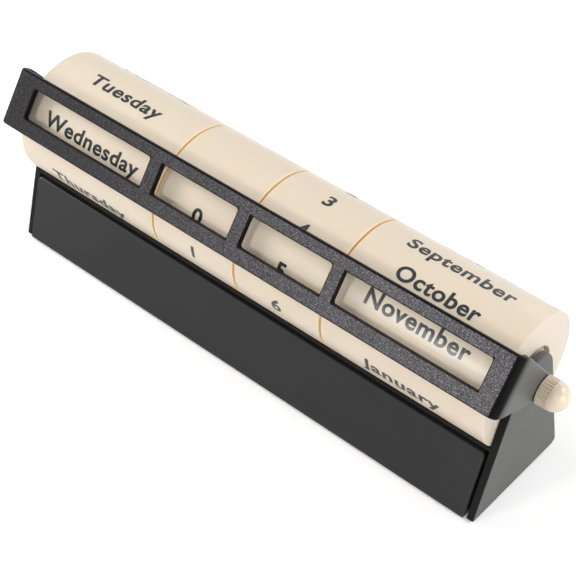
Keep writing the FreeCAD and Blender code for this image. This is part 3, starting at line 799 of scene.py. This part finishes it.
@dataclass(frozen=True)
class Drum:
    """One printed drum: its packed drum and cap, and the marks printed round it.

    The mark with the index shown stands at shown_angle, in degrees from the front, upwards.
    """

    name: str
    marks: tuple[Mark, ...]
    centre_x: float
    shown: int
    shown_angle: float
    weight: float
    spacing: float
    cap_height: float = 5.0
    spread: float = 1.12
    radius: float = 21.15
    print_depth: float = 0.06
    print_proud: float = 0.03
    strip: float = 0.35
    curve_steps: int = 6
    weld: float = 1e-5
    cut_slack: float = 1e-7

    @property
    def body(self) -> str:
        """Name of the body that the drum and its marks turn with."""
        return self.name + "_roller"

    def angle_of(self, index: int) -> float:
        """Angle of a mark's middle from the front, upwards, in degrees."""
        return self.shown_angle + (self.shown - index) * 360.0 / len(self.marks) + self.marks[index].lead

    def flat_mark(self, mark: Mark) -> bmesh.types.BMesh:
        """Makes one mark flat, its middle on the origin.

        Args:
            mark: the word or digit.

        Returns:
            A closed mesh in metres, as thick as the print.
        """
        curve = bpy.data.curves.new("mark", "FONT")
        curve.body = mark.text
        curve.offset = self.weight
        curve.space_character = self.spacing
        curve.extrude = UNIT_THICKNESS / 2
        curve.resolution_u = self.curve_steps
        writer = bpy.data.objects.new("mark", curve)
        bpy.context.scene.collection.objects.link(writer)
        bpy.context.view_layer.update()
        mesh = bpy.data.meshes.new_from_object(writer)
        shape = bmesh.new()
        shape.from_mesh(mesh)
        bpy.data.objects.remove(writer)
        bpy.data.curves.remove(curve)
        bpy.data.meshes.remove(mesh)
        bmesh.ops.remove_doubles(shape, verts=shape.verts, dist=self.weld)
        size = self.cap_height * MM / (FONT_CAP_HEIGHT + 2 * self.weight)
        low = min(vert.co.x for vert in shape.verts)
        high = max(vert.co.x for vert in shape.verts)
        bmesh.ops.translate(shape, verts=shape.verts, vec=(-(low + high) / 2, -FONT_CAP_HEIGHT / 2, 0.0))
        across = mark.width * MM / (high - low) if mark.width else size * self.spread
        bmesh.ops.scale(shape, verts=shape.verts, vec=(across, size, self.print_depth * MM))
        return shape

    def wrap(self, shape: bmesh.types.BMesh, angle: float) -> None:
        """Bends a flat mark round the drum.

        Args:
            shape: the flat mark.
            angle: angle of its middle from the front, upwards, in degrees.
        """
        low = min(vert.co.y for vert in shape.verts)
        high = max(vert.co.y for vert in shape.verts)
        step = self.strip * MM
        for index in range(1, int((high - low) / step) + 1):
            parts = shape.verts[:] + shape.edges[:] + shape.faces[:]
            bmesh.ops.bisect_plane(shape, geom=parts, dist=self.cut_slack,
                                   plane_co=(0.0, low + index * step, 0.0), plane_no=(0.0, 1.0, 0.0))
        base = (self.radius + self.print_proud - self.print_depth / 2) * MM
        for vert in shape.verts:
            turn = math.radians(angle) + vert.co.y / (self.radius * MM)
            reach = base + vert.co.z
            vert.co = (vert.co.x + self.centre_x * MM, AXLE.y - reach * math.cos(turn),
                       AXLE.z + reach * math.sin(turn))

    def build(self, finisher: Finisher) -> bpy.types.Object:
        """Dresses the drum and prints its marks.

        Args:
            finisher: holds the materials.

        Returns:
            The piece that holds the marks.
        """
        dress_nodes(finisher, ((self.name + "_drum", Finish.DRUM_PLASTIC),
                               (self.name + "_drum_cap", Finish.DRUM_PLASTIC)))
        mesh = bpy.data.meshes.new(self.name + "_marks")
        for index, mark in enumerate(self.marks):
            if not mark.text:
                continue
            shape = self.flat_mark(mark)
            self.wrap(shape, self.angle_of(index))
            shape.from_mesh(mesh)
            shape.to_mesh(mesh)
            shape.free()
        piece = bpy.data.objects.new(self.name + "_marks", mesh)
        bpy.context.scene.collection.objects.link(piece)
        finisher.dress(piece, Finish.PRINT_INK)
        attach(piece, self.body)
        LOG.info("%s: %d faces", piece.name, len(mesh.polygons))
        return piece


WEEKDAYS = (Mark("Monday", 31.5), Mark("Tuesday", 29.5, 2.7), Mark("Wednesday", 40.3, 1.7),
            Mark("Thursday", 32.0, -0.5), Mark("Friday"), Mark("Saturday"), Mark("Sunday"))
MONTHS = (Mark("January", 27.0, 2.5), Mark("February"), Mark("March"), Mark("April"), Mark("May"),
          Mark("June", lead=3.0), Mark("July", lead=5.0), Mark("August", lead=8.0), Mark("September", 35.6),
          Mark("October", 27.5, -1.0), Mark("November", 34.7, 0.9), Mark("December", lead=3.2))
TENS = tuple(Mark(text) for text in ("0", "1", "2", "3") + ("",) * 6)
UNITS = tuple(Mark(str(digit)) for digit in range(10))
DRUMS = (
    Drum("weekday", WEEKDAYS, centre_x=-61.3, shown=2, shown_angle=28.3, weight=0.026, spacing=1.08),
    Drum("tens", TENS, centre_x=-15.6, shown=0, shown_angle=22.8, weight=0.027, spacing=1.0),
    Drum("units", UNITS, centre_x=17.2, shown=5, shown_angle=19.9, weight=0.027, spacing=1.0),
    Drum("month", MONTHS, centre_x=62.3, shown=10, shown_angle=38.0, weight=0.026, spacing=1.08),
)


# ---- stage ----------------------------------------------------------------------------------------------

@dataclass(frozen=True)
class Stage:
    """Pale floor and world."""

    floor_half: float = 1.5
    floor_colour: Colour = (0.85, 0.85, 0.85)
    floor_roughness: float = 0.9
    floor_specular: float = 0.1
    seen_colour: Colour = WHITE
    seen_glow: float = 0.20
    lit_radius: float = 0.40
    fade: float = 0.40
    world_strength: float = 0.20

    def seen(self, tree: Nodes) -> bpy.types.NodeSocket:
        """Masks the rays that show the background: camera, glossy and transmission rays.

        Args:
            tree: node tree of the floor's material or the world.

        Returns:
            The mask, 1 on those rays.
        """
        path = add_node(tree, "LightPath")
        shown = arithmetic(tree, "MAXIMUM", path.outputs["Is Camera Ray"], path.outputs["Is Glossy Ray"])
        return arithmetic(tree, "MAXIMUM", shown, path.outputs["Is Transmission Ray"])

    def floor_material(self) -> bpy.types.Material:
        """Builds the floor's matte material, paler where it is seen than for the bounce light.

        Returns:
            The material, which glows where the lamps don't reach, so that the floor's far edge doesn't show.
        """
        material, tree, shader = start_material("floor_paper")
        seen = self.seen(tree)
        join(tree, tint(tree, self.floor_colour, self.seen_colour, seen), shader.inputs["Base Color"])
        shader.inputs["Emission Color"].default_value = (*self.seen_colour, 1.0)
        place = add_node(tree, "TexCoord")
        reach = add_node(tree, "VectorMath", operation="LENGTH")
        join(tree, place.outputs["Object"], reach.inputs[0])
        far = span(tree, reach.outputs["Value"], self.lit_radius, self.lit_radius + self.fade)
        glow = linear(tree, far, 1.0 - self.seen_glow, self.seen_glow)
        join(tree, arithmetic(tree, "MULTIPLY", seen, glow), shader.inputs["Emission Strength"])
        shader.inputs["Roughness"].default_value = self.floor_roughness
        shader.inputs["Specular IOR Level"].default_value = self.floor_specular
        return material

    def build_floor(self) -> None:
        """Makes the floor."""
        mesh = bpy.data.meshes.new("floor")
        shape = bmesh.new()
        bmesh.ops.create_grid(shape, x_segments=1, y_segments=1, size=self.floor_half)
        shape.to_mesh(mesh)
        shape.free()
        floor = bpy.data.objects.new("floor", mesh)
        bpy.context.scene.collection.objects.link(floor)
        mesh.materials.append(self.floor_material())

    def build_world(self) -> None:
        """Lights the world, brighter where it is seen than for the light it gives."""
        world = bpy.data.worlds.new("studio")
        world.use_nodes = True
        tree = world.node_tree
        sky = tree.nodes["Background"]
        strength = add_node(tree, "MapRange")
        strength.inputs["To Min"].default_value = self.world_strength
        strength.inputs["To Max"].default_value = 1.0
        join(tree, self.seen(tree), strength.inputs["Value"])
        join(tree, strength.outputs["Result"], sky.inputs["Strength"])
        sky.inputs["Color"].default_value = (*WHITE, 1.0)
        bpy.context.scene.world = world

    def build(self) -> None:
        """Makes the floor and the world."""
        self.build_floor()
        self.build_world()
        LOG.info("stage: floor and world")


@dataclass(frozen=True)
class Lamp:
    """A soft rectangular lamp aimed at the object."""

    name: str
    place: tuple[float, float, float]
    width: float
    height: float
    power: float
    aim: tuple[float, float, float] = (0.0, 0.0, 0.03)

    def build(self) -> None:
        """Makes the lamp."""
        data = bpy.data.lights.new(self.name, "AREA")
        data.shape = "RECTANGLE"
        data.size = self.width
        data.size_y = self.height
        data.energy = self.power
        lamp = bpy.data.objects.new(self.name, data)
        lamp.location = self.place
        lamp.rotation_euler = (Vector(self.place) - Vector(self.aim)).to_track_quat("Z", "Y").to_euler()
        bpy.context.scene.collection.objects.link(lamp)
        LOG.info("lamp %s", self.name)


LAMPS = (
    Lamp("left_lamp", (-0.85, -0.30, 0.50), width=0.5, height=0.5, power=7.8),
    Lamp("right_lamp", (0.98, -0.10, 0.30), width=0.5, height=0.5, power=5.0),
    Lamp("right_front_lamp", (0.60, -0.70, 0.60), width=0.5, height=0.5, power=1.2),
    Lamp("right_back_lamp", (0.60, 0.60, 0.70), width=0.5, height=0.5, power=3.9),
    Lamp("back_lamp", (0.0, 0.95, 0.50), width=0.5, height=0.5, power=1.8),
    Lamp("low_front_lamp", (-0.134, -0.644, 0.292), width=0.14, height=0.10, power=1.25),
)


@dataclass(frozen=True)
class Camera:
    """Camera above the right front, slightly rolled."""

    place: tuple[float, float, float] = (0.202075, -0.276316, 0.310684)
    azimuth: float = 35.7804
    elevation: float = 40.4296
    roll: float = 6.2079
    lens: float = 88.877
    sensor: float = 36.0
    nearest: float = 0.01

    def build(self) -> None:
        """Makes the camera and gives it to the scene."""
        around = math.radians(self.azimuth)
        above = math.radians(self.elevation)
        roll = math.radians(self.roll)
        level = math.cos(above)
        back = Vector((math.sin(around) * level, -math.cos(around) * level, math.sin(above)))
        right = Vector((math.cos(around), math.sin(around), 0.0))
        up = back.cross(right)
        rolled_right = right * math.cos(roll) + up * math.sin(roll)
        rolled_up = up * math.cos(roll) - right * math.sin(roll)
        data = bpy.data.cameras.new("camera")
        data.sensor_fit = "HORIZONTAL"
        data.sensor_width = self.sensor
        data.lens = self.lens
        data.clip_start = self.nearest
        camera = bpy.data.objects.new("camera", data)
        turn = Matrix((rolled_right, rolled_up, back)).transposed().to_4x4()
        camera.matrix_world = Matrix.Translation(Vector(self.place)) @ turn
        bpy.context.scene.collection.objects.link(camera)
        bpy.context.scene.camera = camera
        LOG.info("camera: lens %.1f mm", self.lens)


def main() -> None:
    """Builds every class in order."""
    logging.basicConfig(level=logging.INFO, format="%(name)s %(message)s")
    bpy.context.scene.view_settings.view_transform = "Standard"
    Camera().build()
    Stage().build()
    for lamp in LAMPS:
        lamp.build()
    finisher = Finisher.make()
    Stand().build(finisher)
    Drawer().build(finisher)
    Window().build(finisher)
    for drum in DRUMS:
        drum.build(finisher)


if __name__ == "__main__":
    main()
